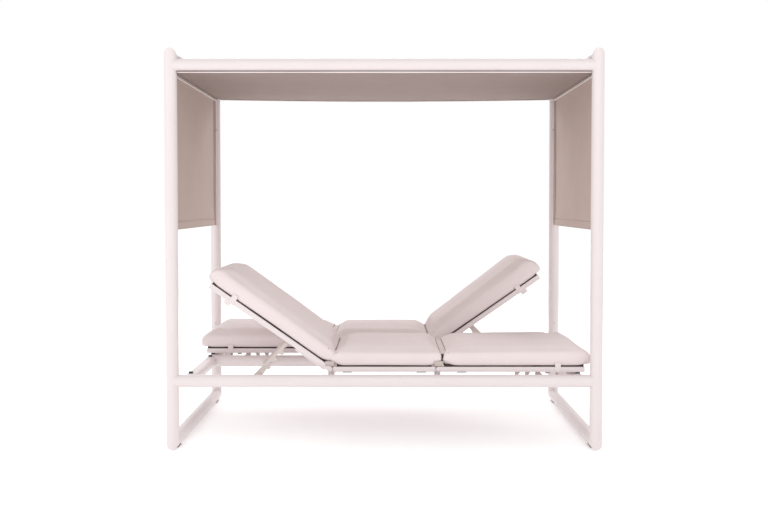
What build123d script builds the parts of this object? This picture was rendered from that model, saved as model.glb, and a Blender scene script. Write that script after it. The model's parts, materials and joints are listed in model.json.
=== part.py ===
import os
from math import asin, atan2, cos, degrees, hypot, radians, sin, sqrt, tan

from build123d import *

os.makedirs("parts", exist_ok=True)

# Round tubes of the big frame
tube_d = 63.5
tube_wall = 2.0
tube_r = tube_d / 2
glide_h = 4.0
glide_len = 90.0
glide_w = 36.0

# One lounger: hinges, bars and slats
bed_half_w = 337.0
rail_gap = 9.75
hinge_x = 277.0
panel_len = 748.0
bar = 25.0
slat_w = 40.0
slat_drop = 6.0
slat_wall = 1.5
seat_bar_gap = 15.0
side_gap = 0.5
slat_count = 5
stiffener_t = 9.0
stiffener_w = 16.0
pad_len = 48.0
pad_t = 4.0
pad_w = 18.0
leg_pad_reach = 120.0
seat_pad_inset = 72.0
bar_y = bed_half_w - bar / 2
bar_inner = bed_half_w - bar
seat_bar_end = hinge_x - seat_bar_gap
stiffener_start = bar

# Centre lines of the big frame, set out from the loungers
rail_under_end = 34.0
post_out = 85.0
lower_rail_x = hinge_x + panel_len - rail_under_end
post_x = lower_rail_x + post_out
bay_y = bed_half_w + rail_gap + tube_r
post_y = 2 * bay_y
top_rail_z = 2000.0
cross_rail_down = 52.5
cross_rail_z = top_rail_z - cross_rail_down
lower_rail_z = 351.0
hinge_up = 52.5
hinge_z = lower_rail_z + hinge_up
floor_rail_z = tube_r + glide_h

# Canopy and side cloths
cloth_t = 3.0
cloth_out = 4.0
cloth_x = post_x + cloth_out
canopy_drop = 33.5
canopy_z = cross_rail_z - canopy_drop
canopy_sag = 11.0
canopy_over = 21.0
canopy_half_y = post_y + canopy_over
side_cloth_drop = 885.0
side_cloth_bottom_z = top_rail_z - side_cloth_drop
hem_h = 43.0
hem_t = 6.0
track_w = 12.0

# Hinge hardware
plate_t = 5.0
stem_w = 22.0
flange_reach = 40.0
bearer_d = 25.4
bolt_r = 6.0
bolt_head_r = 8.5
bolt_head_t = 4.0
run_clear = 0.05
face_clear = 0.3

# Ratchet struts, set out along the panel by shares of its length
back_pivot_share = 0.3422
leg_pivot_share = 0.4479
engage_share = 0.3409
pitch_share = 0.2039
back_pivot_u = back_pivot_share * panel_len
leg_pivot_u = leg_pivot_share * panel_len
engage_u = engage_share * panel_len
tooth_pitch = pitch_share * engage_u
tooth_count = 4
catch_r = 10.0
arm_back = 9.0
tooth_tip = 28.0
low_tooth_tip = 20.0
notch_floor = 7.5
notch_clear = 1.5
notch_side_clear = 1.95
notch_heel_clear = 1.0
engage_v = notch_floor + notch_clear + catch_r
notch_outer = catch_r + notch_side_clear
notch_inner = catch_r + notch_heel_clear
tooth_slope = 13.0
arm_end = tooth_pitch / 2
pin_r = 5.0
pin_share = 0.7
pin_len = pin_share * bar
rod_r = 5.0
rod_share = 0.7
rod_u = rod_share * tooth_pitch
pivot_drop = 4.0
stiffener_end = back_pivot_u - tooth_pitch
back_raise = 35.0
leg_raise = 15.0

# Cushions, measured from the hinge line
cushion_low = 20.0
cushion_crown = 122.0
cushion_swell = 115.0
cushion_swell_in = 70.0
cushion_edge = 96.0
cushion_gap = 0.3
cushion_past = 35.0
cushion_tip_u = panel_len + cushion_past
seat_back_u = -2.0
seat_back_tilt = 20.2
seat_leg_u = 16.0
leg_start_u = 24.0
cushion_round = 13.0
cushion_shoulder = 26.0
tip_slope = 110.0
tip_drop = 39.0
outline_over = 3.0

# Height of the slats' tops over the bar's centre line
slat_top = cushion_low - cushion_gap

# Ties under the side bars
tie_share = 0.8168
tie_u = tie_share * panel_len
tie_w = 30.0
tie_t = 2.0
tie_top = 36.0
knot_len = 34.0
knot_u = tie_u + knot_len / 2
knot_h = 19.0
knot_w = 20.0

# How far a cutting body runs past what it cuts
overrun = 5.0


def save(piece, name):
    piece.part.label = name
    export_step(piece.part, "parts/" + name + ".step")


def coped_tube(start, end, radius, wall, neighbours):
    run = Vector(*end) - Vector(*start)
    with BuildPart() as piece:
        with BuildSketch(Plane(origin=start, z_dir=run)):
            Circle(radius)
            Circle(radius - wall, mode=Mode.SUBTRACT)
        extrude(amount=run.length)
        for point, direction in neighbours:
            with BuildSketch(Plane(origin=point, z_dir=direction)):
                Circle(tube_r)
            extrude(amount=tube_d + overrun, both=True, mode=Mode.SUBTRACT)
    return piece


# Side rectangles: posts, top rails and floor rails, mitred at the corners
def mitred_tube(start, end, cuts):
    run = Vector(*end) - Vector(*start)
    with BuildPart() as piece:
        with BuildSketch(Plane(origin=start, z_dir=run)):
            Circle(tube_r)
            Circle(tube_r - tube_wall, mode=Mode.SUBTRACT)
        extrude(amount=run.length)
        for corner, inward in cuts:
            split(bisect_by=Plane(origin=corner, z_dir=inward), keep=Keep.TOP)
    return piece


mitre_run = tube_d
for x_side, x_name in ((-1, "left"), (1, "right")):
    x = x_side * post_x
    for y_side, y_name in ((-1, "front"), (1, "back")):
        y = y_side * post_y
        post = mitred_tube(
            (x, y, floor_rail_z - mitre_run),
            (x, y, top_rail_z + mitre_run),
            (
                ((x, y, top_rail_z), (0, y_side, -1)),
                ((x, y, floor_rail_z), (0, y_side, 1)),
            ),
        )
        save(post, y_name + "_" + x_name + "_post")
    for z, lean, z_name in ((top_rail_z, 1, "top"), (floor_rail_z, -1, "floor")):
        rail = mitred_tube(
            (x, -post_y - mitre_run, z),
            (x, post_y + mitre_run, z),
            (
                ((x, -post_y, z), (0, 1, lean)),
                ((x, post_y, z), (0, -1, lean)),
            ),
        )
        save(rail, x_name + "_" + z_name + "_rail")

# Cross rails, coped to the posts
for y_side, y_name in ((-1, "front"), (1, "back")):
    y = y_side * post_y
    posts_here = (((-post_x, y, cross_rail_z), (0, 0, 1)), ((post_x, y, cross_rail_z), (0, 0, 1)))
    top = coped_tube((-post_x, y, cross_rail_z), (post_x, y, cross_rail_z), tube_r, tube_wall, posts_here)
    save(top, y_name + "_top_rail")
    posts_low = (((-post_x, y, lower_rail_z), (0, 0, 1)), ((post_x, y, lower_rail_z), (0, 0, 1)))
    low = coped_tube((-post_x, y, lower_rail_z), (post_x, y, lower_rail_z), tube_r, tube_wall, posts_low)
    save(low, y_name + "_lower_rail")

# Lower rails running front to back, coped to the front and back ones
for x_side, x_name in ((-1, "left"), (1, "right")):
    x = x_side * lower_rail_x
    ends = (((x, -post_y, lower_rail_z), (1, 0, 0)), ((x, post_y, lower_rail_z), (1, 0, 0)))
    rail = coped_tube((x, -post_y, lower_rail_z), (x, post_y, lower_rail_z), tube_r, tube_wall, ends)
    save(rail, x_name + "_lower_rail")

mid_ends = (
    ((-lower_rail_x, 0, lower_rail_z), (0, 1, 0)),
    ((lower_rail_x, 0, lower_rail_z), (0, 1, 0)),
)
middle = coped_tube(
    (-lower_rail_x, 0, lower_rail_z), (lower_rail_x, 0, lower_rail_z), tube_r, tube_wall, mid_ends
)
save(middle, "middle_lower_rail")

# Glides under the floor rails, hollowed to the tube
with BuildPart() as glides:
    for x_side in (-1, 1):
        for y_side in (-1, 1):
            with Locations((x_side * post_x, y_side * (post_y - glide_len), glide_h)):
                Box(glide_w, glide_len, 2 * glide_h)
        with BuildSketch(Plane(origin=(x_side * post_x, 0, floor_rail_z), z_dir=(0, 1, 0))):
            Circle(tube_r)
        extrude(amount=post_y, both=True, mode=Mode.SUBTRACT)
save(glides, "floor_glides")

# Bumpers on the lower side rails, under the ends of the flat panels
bumper_r = 10.0
bumper_bite = 6.0
bumper_top = hinge_z - bar / 2
bumper_low = lower_rail_z + tube_r - bumper_bite
with BuildPart() as bumpers:
    for x_side in (-1, 1):
        for y_side in (-1, 1):
            for edge in (-1, 1):
                y = y_side * bay_y + edge * bar_y
                with BuildSketch(Plane(origin=(x_side * lower_rail_x, y, bumper_low))):
                    Rectangle(2 * bumper_r, 2 * bumper_r)
                extrude(amount=bumper_top - bumper_low)
        with BuildSketch(Plane(origin=(x_side * lower_rail_x, 0, lower_rail_z), z_dir=(0, 1, 0))):
            Circle(tube_r)
        extrude(amount=post_y, both=True, mode=Mode.SUBTRACT)
save(bumpers, "rest_bumpers")

# Canopy: one sagging cloth under the cross rails
canopy_half_x = cloth_x - cloth_t / 2 - track_w
with BuildPart() as canopy:
    with BuildSketch(Plane.XZ):
        with BuildLine():
            ThreePointArc(
                (-canopy_half_x, canopy_z), (0, canopy_z - canopy_sag), (canopy_half_x, canopy_z)
            )
            Line((canopy_half_x, canopy_z), (canopy_half_x, canopy_z - cloth_t))
            ThreePointArc(
                (canopy_half_x, canopy_z - cloth_t),
                (0, canopy_z - canopy_sag - cloth_t),
                (-canopy_half_x, canopy_z - cloth_t),
            )
            Line((-canopy_half_x, canopy_z - cloth_t), (-canopy_half_x, canopy_z))
        make_face()
    extrude(amount=canopy_half_y, both=True)
    for x_side in (-1, 1):
        for y_side in (-1, 1):
            with BuildSketch(Plane(origin=(x_side * post_x, y_side * post_y, canopy_z))):
                Circle(tube_r)
            extrude(amount=tube_d, both=True, mode=Mode.SUBTRACT)
save(canopy, "canopy_cloth")

# Side cloths from the top rails down, with a hem, and the tracks that hold them
side_cloth_y = post_y - tube_r
cloth_top_z = top_rail_z - sqrt(tube_r * tube_r - (cloth_x - cloth_t / 2 - post_x) ** 2)
for x_side, x_name in ((-1, "left"), (1, "right")):
    x = x_side * cloth_x
    with BuildPart() as cloth:
        with Locations((x, 0, (cloth_top_z + side_cloth_bottom_z) / 2)):
            Box(cloth_t, 2 * post_y, cloth_top_z - side_cloth_bottom_z)
        with Locations((x, 0, side_cloth_bottom_z + hem_h / 2)):
            Box(hem_t, 2 * post_y, hem_h)
        for y_side in (-1, 1):
            with BuildSketch(Plane(origin=(x_side * post_x, y_side * post_y, 0))):
                Circle(tube_r)
            extrude(amount=top_rail_z, mode=Mode.SUBTRACT)
        with BuildSketch(Plane(origin=(x_side * post_x, 0, top_rail_z), z_dir=(0, 1, 0))):
            Circle(tube_r)
        extrude(amount=post_y, both=True, mode=Mode.SUBTRACT)
    save(cloth, x_name + "_side_cloth")
    inner = x_side * (cloth_x - cloth_t / 2 - track_w / 2)
    with BuildPart() as track:
        with Locations((inner, 0, canopy_z - track_w / 2)):
            Box(track_w, 2 * post_y, track_w)
        with Locations((inner, side_cloth_y, (canopy_z + side_cloth_bottom_z) / 2)):
            Box(track_w, track_w, canopy_z - side_cloth_bottom_z)
        for y_side in (-1, 1):
            with BuildSketch(Plane(origin=(x_side * post_x, y_side * post_y, 0))):
                Circle(tube_r)
            extrude(amount=top_rail_z, mode=Mode.SUBTRACT)
        with Locations((x, 0, side_cloth_bottom_z + hem_h / 2)):
            Box(hem_t, 2 * post_y, hem_h + overrun, mode=Mode.SUBTRACT)
    save(track, x_name + "_cloth_track")

# Screws on the back posts
screw_r = 5.0
screw_h = 2.5
screw_z = 494.0
with BuildPart() as screws:
    for x_side in (-1, 1):
        spot = (x_side * post_x, post_y, screw_z)
        with BuildSketch(Plane(origin=spot, z_dir=(0, -1, 0))):
            RegularPolygon(screw_r, 6)
        extrude(amount=tube_r + screw_h)
        with BuildSketch(Plane(origin=(spot[0], spot[1], screw_z))):
            Circle(tube_r)
        extrude(amount=tube_d, both=True, mode=Mode.SUBTRACT)
save(screws, "post_screws")


# The plane of a panel: along it, up from it, and across the lounger
def panel_plane(side, y, raised):
    a = radians(raised)
    return Plane(origin=(side * hinge_x, y, hinge_z), x_dir=(side * cos(a), 0, sin(a)), z_dir=(0, -side, 0))


# The strut's own plane, at its pivot on the panel, turned down to the catch bar
def strut_plane(side, y, raised, pivot_u, fold):
    a = radians(raised)
    b = radians(raised - fold)
    px = pivot_u * cos(a) + pivot_drop * sin(a)
    pz = pivot_u * sin(a) - pivot_drop * cos(a)
    return Plane(
        origin=(side * (hinge_x + px), y, hinge_z + pz),
        x_dir=(side * cos(b), 0, sin(b)),
        z_dir=(0, -side, 0),
    )


# Where the catch bar sits, out from the hinge, for a strut that locks at a raise
def catch_reach(pivot_u, raised):
    a = radians(raised)
    px = pivot_u * cos(a) + pivot_drop * sin(a)
    drop = pivot_u * sin(a) - pivot_drop * cos(a) - (lower_rail_z - hinge_z)
    return px + sqrt(engage_u**2 + engage_v**2 - drop**2)


# How far a strut swings away from its panel while the panel rises
def strut_swing(pivot_u, raised):
    a = radians(raised)
    drop = pivot_u * sin(a) - pivot_drop * cos(a) - (lower_rail_z - hinge_z)
    line = degrees(asin(drop / hypot(engage_u, engage_v)))
    return raised + line - degrees(atan2(engage_v, engage_u))


def make_bearer(side, y, name):
    rail_a = y - bay_y if y > 0 else y + bay_y
    rail_b = post_y if y > 0 else -post_y
    x = side * hinge_x
    with BuildPart() as bearer:
        with BuildSketch(Plane(origin=(x, y, lower_rail_z), z_dir=(0, 1, 0))):
            Circle(bearer_d / 2)
        extrude(amount=bay_y, both=True)
        for edge in (-1, 1):
            mid = y + edge * (bar_inner - plate_t / 2)
            with BuildSketch(Plane(origin=(x, mid, hinge_z), x_dir=(side, 0, 0), z_dir=(0, -side, 0))):
                with BuildLine():
                    Polyline(
                        (-stem_w / 2, lower_rail_z - hinge_z),
                        (stem_w / 2, lower_rail_z - hinge_z),
                        (stem_w / 2, bar / 4),
                        (stem_w / 4, bar / 2),
                        (-flange_reach, bar / 2),
                        (-flange_reach, -bar / 2),
                        (-stem_w / 2, -bar / 2 - stem_w / 2),
                        (-stem_w / 2, lower_rail_z - hinge_z),
                    )
                make_face()
            extrude(amount=plate_t / 2, both=True)
            root = Plane(origin=(x, y, hinge_z), z_dir=(0, edge, 0))
            with BuildSketch(root.offset(bar_inner - plate_t / 2)):
                Circle(bolt_r)
            extrude(amount=bar + face_clear + plate_t / 2)
            with BuildSketch(root.offset(bed_half_w + face_clear)):
                RegularPolygon(bolt_head_r, 6)
            extrude(amount=bolt_head_t)
        for rail in (rail_a, rail_b):
            with BuildSketch(Plane(origin=(x, rail, lower_rail_z), z_dir=(1, 0, 0))):
                Circle(tube_r)
            extrude(amount=tube_d, both=True, mode=Mode.SUBTRACT)
    save(bearer, name)


def make_catch_bar(side, y, reach, name):
    rail_a = y - bay_y if y > 0 else y + bay_y
    rail_b = post_y if y > 0 else -post_y
    x = side * (hinge_x + reach)
    with BuildPart() as catch:
        with BuildSketch(Plane(origin=(x, y, lower_rail_z), z_dir=(0, 1, 0))):
            Circle(catch_r)
        extrude(amount=bay_y, both=True)
        for rail in (rail_a, rail_b):
            with BuildSketch(Plane(origin=(x, rail, lower_rail_z), z_dir=(1, 0, 0))):
                Circle(tube_r)
            extrude(amount=tube_d, both=True, mode=Mode.SUBTRACT)
    save(catch, name)


# A slat's hollow section, standing up from inside the bars to just under the cushion
def slat_section(u, up):
    low = bar / 2 - slat_drop
    height = slat_top - low
    with Locations((u, up * (low + height / 2))):
        Rectangle(slat_w, height)
        Rectangle(slat_w - 2 * slat_wall, height - 2 * slat_wall, mode=Mode.SUBTRACT)


def make_seat_frame(y, name):
    with BuildPart() as seat:
        for edge in (-1, 1):
            with Locations((0, y + edge * bar_y, hinge_z)):
                Box(2 * seat_bar_end, bar, bar)
        for end in (-1, 1):
            with Locations((end * (seat_bar_end - bar - flange_reach), y, hinge_z)):
                Box(bar, 2 * bar_inner, bar)
        for slat in (-1, 1):
            centre = (slat * (slat_w + bar), y, hinge_z)
            with BuildSketch(Plane(origin=centre, x_dir=(1, 0, 0), z_dir=(0, 1, 0))):
                slat_section(0, -1)
            extrude(amount=bar_inner, both=True)
    save(seat, name)


def make_pads(xs, y, name):
    with BuildPart() as pads:
        for x in xs:
            for edge in (-1, 1):
                with Locations((x, y + edge * bar_y, hinge_z - bar / 2 - pad_t / 2)):
                    Box(pad_len, pad_w, pad_t)
    save(pads, name)


def make_panel_frame(side, y, raised, pivot_u, stiffened, name):
    plane = panel_plane(side, y, raised)
    width = bar - side_gap
    with BuildPart() as panel:
        for edge in (-1, 1):
            with BuildSketch(plane.offset(edge * (bed_half_w - width / 2))):
                Circle(bar / 2)
                with Locations((panel_len / 2, 0)):
                    Rectangle(panel_len, bar)
            extrude(amount=width / 2, both=True)
        with BuildSketch(plane):
            with Locations((panel_len - bar / 2, 0)):
                Rectangle(bar, bar)
        extrude(amount=bed_half_w - width, both=True)
        first = bar + slat_w
        last = panel_len - bar - 2 * slat_w
        for i in range(slat_count):
            u = first + (last - first) * i / (slat_count - 1)
            with BuildSketch(plane):
                slat_section(u, 1)
            extrude(amount=bed_half_w - width, both=True)
        if stiffened:
            for edge in (-1, 1):
                with BuildSketch(plane.offset(edge * (bed_half_w - width / 2))):
                    with Locations(((stiffener_start + stiffener_end) / 2, -bar / 2 - stiffener_t / 2)):
                        Rectangle(stiffener_end - stiffener_start, stiffener_t)
                extrude(amount=stiffener_w / 2, both=True)
        with BuildSketch(plane):
            Circle(bolt_r + run_clear)
        extrude(amount=bed_half_w + overrun, both=True, mode=Mode.SUBTRACT)
        with BuildSketch(plane):
            with Locations((pivot_u, -pivot_drop)):
                Circle(pin_r + run_clear)
        extrude(amount=bar_inner + pin_len, both=True, mode=Mode.SUBTRACT)
    save(panel, name)


def make_strut(side, y, raised, pivot_u, fold, name):
    plane = strut_plane(side, y, raised, pivot_u, fold)
    arm_mid = bar_inner - plate_t / 2
    outline = [(engage_u + arm_end, arm_back), (engage_u + arm_end, -tooth_tip)]
    outline.append((engage_u + notch_outer, -tooth_tip))
    for i in range(tooth_count):
        u = engage_u - i * tooth_pitch
        tip = low_tooth_tip if i == 0 else tooth_tip
        reach = tooth_slope * (tip - notch_floor) / (tooth_tip - notch_floor)
        outline.append((u + notch_outer, -notch_floor))
        outline.append((u - notch_inner, -notch_floor))
        outline.append((u - notch_inner - reach, -tip))
        outline.append((u - tooth_pitch + notch_outer, -tip))
    outline.append((engage_u - tooth_count * tooth_pitch + notch_outer, -arm_back))
    outline.append((-arm_back / 2, -arm_back))
    outline.append((-arm_back, -arm_back / 2))
    outline.append((-arm_back, arm_back / 2))
    outline.append((-arm_back / 2, arm_back))
    with BuildPart() as strut:
        for edge in (-1, 1):
            with BuildSketch(plane.offset(edge * arm_mid)):
                with BuildLine():
                    Polyline(*outline, close=True)
                make_face()
            extrude(amount=plate_t / 2, both=True)
            outward = Plane(origin=plane.origin, x_dir=plane.x_dir, z_dir=plane.z_dir * edge)
            with BuildSketch(outward.offset(arm_mid)):
                Circle(pin_r)
            extrude(amount=pin_len)
        with BuildSketch(plane):
            with Locations((rod_u, 0)):
                Circle(rod_r)
        extrude(amount=arm_mid, both=True)
    save(strut, name)


def make_ties(side, y, raised, name):
    plane = panel_plane(side, y, raised)
    outer = bed_half_w + face_clear
    with BuildPart() as ties:
        for edge in (-1, 1):
            away = Plane(origin=plane.origin, x_dir=plane.x_dir, z_dir=plane.z_dir * edge)
            with BuildSketch(away.offset(outer)):
                with Locations((tie_u, edge * (tie_top - bar / 2 - tie_t) / 2)):
                    Rectangle(tie_w, tie_top + bar / 2 + tie_t)
            extrude(amount=tie_t)
            with BuildSketch(away.offset(bed_half_w - knot_w)):
                with Locations((tie_u, -edge * (bar + tie_t) / 2)):
                    Rectangle(tie_w, tie_t)
            extrude(amount=knot_w + face_clear)
            with BuildSketch(away.offset(bed_half_w - knot_w - side_gap)):
                with Locations((knot_u, -edge * (bar + knot_h) / 2)):
                    Rectangle(knot_len, knot_h)
            extrude(amount=knot_w - side_gap)
    save(ties, name)


# A cushion is where its side, end and plan outlines all overlap
def make_cushion(plane, profile, mid_u, half_len, name):
    with BuildPart() as cushion:
        with BuildSketch(plane):
            with BuildLine():
                FilletPolyline(*profile, radius=cushion_round, close=True)
            make_face()
        extrude(amount=bed_half_w + overrun, both=True)
        first_u = mid_u - half_len - overrun
        across = Plane(origin=plane.from_local_coords((first_u, 0, 0)), x_dir=plane.z_dir, z_dir=plane.x_dir)
        down = plane.y_dir.dot(across.y_dir)
        edge_w = bed_half_w - cushion_shoulder
        swell_w = bed_half_w - cushion_swell_in
        with BuildSketch(across):
            with BuildLine():
                FilletPolyline(
                    (-bed_half_w + cushion_round / 2, down * cushion_low),
                    (-bed_half_w, down * (cushion_low + cushion_edge) / 2),
                    (-bed_half_w + cushion_round / 2, down * (cushion_edge - cushion_round / 2)),
                    (-edge_w, down * cushion_edge),
                    (-swell_w, down * cushion_swell),
                    (0, down * cushion_crown),
                    (swell_w, down * cushion_swell),
                    (edge_w, down * cushion_edge),
                    (bed_half_w - cushion_round / 2, down * (cushion_edge - cushion_round / 2)),
                    (bed_half_w, down * (cushion_low + cushion_edge) / 2),
                    (bed_half_w - cushion_round / 2, down * cushion_low),
                    radius=cushion_round,
                    close=True,
                )
            make_face()
        extrude(amount=2 * (half_len + overrun), mode=Mode.INTERSECT)
    save(cushion, name)


# Side outlines of the three cushions, out from the hinge and up from it
def seat_profile():
    lean = tan(radians(seat_back_tilt))
    left = -hinge_x - seat_back_u
    right = hinge_x + seat_leg_u
    base = cushion_low - outline_over / 2
    top = cushion_crown + outline_over
    side_top = cushion_edge - cushion_round / 2
    return (
        (left + lean * (base - cushion_low), base),
        (left + lean * (side_top - cushion_low), side_top),
        (left + lean * (side_top - cushion_low) + cushion_shoulder, cushion_edge + cushion_round / 2),
        (left + lean * (side_top - cushion_low) + cushion_swell_in, top),
        (right - cushion_swell_in, top),
        (right - cushion_shoulder, cushion_edge + cushion_round / 2),
        (right, side_top),
        (right, base),
    )


def panel_profile(start_u, lean):
    side_top = cushion_edge - cushion_round / 2
    base = cushion_low - outline_over / 2
    return (
        (start_u + lean * (base - cushion_low), base),
        (start_u + lean * (side_top - cushion_low), side_top),
        (start_u + lean * (side_top - cushion_low) + cushion_shoulder, cushion_edge + cushion_round / 2),
        (start_u + lean * (side_top - cushion_low) + cushion_swell_in, cushion_crown + outline_over),
        (cushion_tip_u - tip_slope, cushion_crown + outline_over),
        (cushion_tip_u - cushion_round, cushion_edge - cushion_round),
        (cushion_tip_u, cushion_edge - tip_drop),
        (cushion_tip_u - cushion_round / 2, base),
    )


# The raised back cushion's end lies along the seat cushion's leaning end
raise_a = radians(back_raise)
lean_a = radians(seat_back_tilt)
near_w = seat_back_u + cushion_gap * cos(lean_a)
near_h = cushion_low + cushion_gap * sin(lean_a)
near_u = near_w * cos(raise_a) + near_h * sin(raise_a)
near_n = -near_w * sin(raise_a) + near_h * cos(raise_a)
back_lean = tan(raise_a - lean_a)
back_start_u = near_u - (near_n - cushion_low) * back_lean
leg_lean = tan(radians(leg_raise))

for y, direction, prefix in ((-bay_y, -1, "front"), (bay_y, 1, "rear")):
    back_side = direction
    leg_side = -direction
    names = {-1: "left", 1: "right"}
    make_bearer(back_side, y, prefix + "_bearer_" + names[back_side])
    make_bearer(leg_side, y, prefix + "_bearer_" + names[leg_side])
    back_reach = catch_reach(back_pivot_u, back_raise)
    leg_reach = catch_reach(leg_pivot_u, leg_raise)
    make_catch_bar(back_side, y, back_reach, prefix + "_catch_bar_" + names[back_side])
    make_catch_bar(leg_side, y, leg_reach, prefix + "_catch_bar_" + names[leg_side])
    make_seat_frame(y, prefix + "_seat_frame")
    make_pads((seat_pad_inset - seat_bar_end, seat_bar_end - seat_pad_inset), y, prefix + "_seat_pads")
    make_pads((leg_side * (hinge_x + leg_pad_reach),), y, prefix + "_leg_pads")
    make_panel_frame(back_side, y, back_raise, back_pivot_u, True, prefix + "_back_frame")
    make_panel_frame(leg_side, y, 0, leg_pivot_u, False, prefix + "_leg_frame")
    make_strut(
        back_side, y, back_raise, back_pivot_u, strut_swing(back_pivot_u, back_raise), prefix + "_back_strut"
    )
    make_strut(leg_side, y, 0, leg_pivot_u, 0, prefix + "_leg_strut")
    make_ties(back_side, y, back_raise, prefix + "_back_ties")
    make_ties(leg_side, y, 0, prefix + "_leg_ties")
    seat_plane = Plane(origin=(0, y, hinge_z), x_dir=(leg_side, 0, 0), z_dir=(0, -leg_side, 0))
    make_cushion(seat_plane, seat_profile(), 0, hinge_x + cushion_round, prefix + "_seat_cushion")
    make_cushion(
        panel_plane(back_side, y, back_raise),
        panel_profile(back_start_u, back_lean),
        cushion_tip_u / 2,
        cushion_tip_u / 2,
        prefix + "_back_cushion",
    )
    make_cushion(
        panel_plane(leg_side, y, 0),
        panel_profile(leg_start_u, leg_lean),
        cushion_tip_u / 2,
        cushion_tip_u / 2,
        prefix + "_leg_cushion",
    )

back_pivot = strut_plane(1, 0, back_raise, back_pivot_u, 0).origin
leg_pivot = strut_plane(1, 0, 0, leg_pivot_u, 0).origin
print("hinge line", hinge_x, bay_y, hinge_z)
print("back strut pivot", back_pivot.X, back_pivot.Z, "swing", strut_swing(back_pivot_u, back_raise))
print("leg strut pivot", leg_pivot.X, leg_pivot.Z, "swing", strut_swing(leg_pivot_u, leg_raise))
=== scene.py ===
# %% [markdown]
# # Double chaise lounger under a cloth canopy
# Two loungers lie side by side in a frame of round tube, head to foot, under a cloth canopy. Their
# backs and leg panels tilt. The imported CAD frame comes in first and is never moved, because the
# joints are measured from it. The cells below give each tube, bar and strut its painted finish, put
# soft cushions in the place of the plain foam solids, hang the cloths, and set light and camera.

import json
import math

import bmesh
import bpy
import numpy as np
from mathutils import Matrix, Vector, noise
from mathutils.bvhtree import BVHTree


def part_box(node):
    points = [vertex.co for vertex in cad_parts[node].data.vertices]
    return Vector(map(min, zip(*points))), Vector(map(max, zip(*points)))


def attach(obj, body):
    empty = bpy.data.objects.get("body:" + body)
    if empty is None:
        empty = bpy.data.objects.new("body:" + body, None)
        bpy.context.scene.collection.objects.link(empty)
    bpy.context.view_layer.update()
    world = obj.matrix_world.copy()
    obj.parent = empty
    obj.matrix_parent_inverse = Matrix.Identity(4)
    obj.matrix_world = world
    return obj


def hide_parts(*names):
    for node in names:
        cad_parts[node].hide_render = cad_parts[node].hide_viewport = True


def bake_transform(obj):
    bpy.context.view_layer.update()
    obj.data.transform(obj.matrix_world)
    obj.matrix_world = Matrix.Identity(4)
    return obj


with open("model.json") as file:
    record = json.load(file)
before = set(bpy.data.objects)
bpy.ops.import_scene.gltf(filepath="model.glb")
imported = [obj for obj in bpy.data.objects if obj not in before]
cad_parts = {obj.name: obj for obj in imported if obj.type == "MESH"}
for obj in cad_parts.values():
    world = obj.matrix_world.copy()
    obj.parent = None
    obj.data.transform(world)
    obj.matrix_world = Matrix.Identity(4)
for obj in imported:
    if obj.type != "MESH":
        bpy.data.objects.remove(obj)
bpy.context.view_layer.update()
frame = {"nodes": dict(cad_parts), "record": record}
nodes = frame["nodes"]
scene = bpy.context.scene
print("frame nodes:", len(nodes))

# %% [markdown]
# ## Shader groups
# Paint and cloth each have one small pattern that shows on many pieces. A pattern could be built
# again in every material. Here each one is a node group instead, so that a change to it reaches all
# the materials. A group takes a colour and gives a colour, a roughness and a bump height.

# %% A helper that starts a node group
def new_group(name, inputs, outputs):
    group = bpy.data.node_groups.new(name, "ShaderNodeTree")
    for label, kind, value in inputs:
        socket = group.interface.new_socket(label, in_out="INPUT", socket_type=kind)
        if value is not None:
            socket.default_value = value
    for label, kind in outputs:
        group.interface.new_socket(label, in_out="OUTPUT", socket_type=kind)
    start = group.nodes.new("NodeGroupInput")
    end = group.nodes.new("NodeGroupOutput")
    return group, start.outputs, end.inputs


GROUP_OUTPUTS = (
    ("Color", "NodeSocketColor"), ("Roughness", "NodeSocketFloat"), ("Height", "NodeSocketFloat"),
)
print("every group gives:", ", ".join(label for label, kind in GROUP_OUTPUTS))


# %% Helpers that add one node
def math_node(tree, operation, *values, clamp=False):
    node = tree.nodes.new("ShaderNodeMath")
    node.operation = operation
    node.use_clamp = clamp
    for socket, value in zip(node.inputs, values):
        if isinstance(value, (int, float)):
            socket.default_value = value
        else:
            tree.links.new(value, socket)
    return node.outputs[0]


def mix_colour(tree, factor, a, b, blend="MIX"):
    node = tree.nodes.new("ShaderNodeMix")
    node.data_type = "RGBA"
    node.blend_type = blend
    for index, value in ((0, factor), (6, a), (7, b)):
        if isinstance(value, (int, float, tuple)):
            node.inputs[index].default_value = value
        else:
            tree.links.new(value, node.inputs[index])
    return node.outputs[2]


def noise_node(tree, vector, scale, detail):
    node = tree.nodes.new("ShaderNodeTexNoise")
    node.inputs["Scale"].default_value = scale
    node.inputs["Detail"].default_value = detail
    tree.links.new(vector, node.inputs["Vector"])
    return node.outputs["Fac"]


# %% [markdown]
# ### Powder coat
# The tubes are baked with powder paint, which has a fine orange-peel skin and holds a little dust in
# broad soft patches. A painted picture could show both, but it would stretch on bent tube. Two noise
# patterns in three dimensions follow any shape, so they are used.

# %% Powder coat group
PEEL_SCALE, PATCH_SCALE = 900.0, 5.0
DUST_TINT = (0.86, 0.82, 0.80, 1)
PAINT_ROUGH, PAINT_ROUGH_SPAN = 0.34, 0.16


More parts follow.
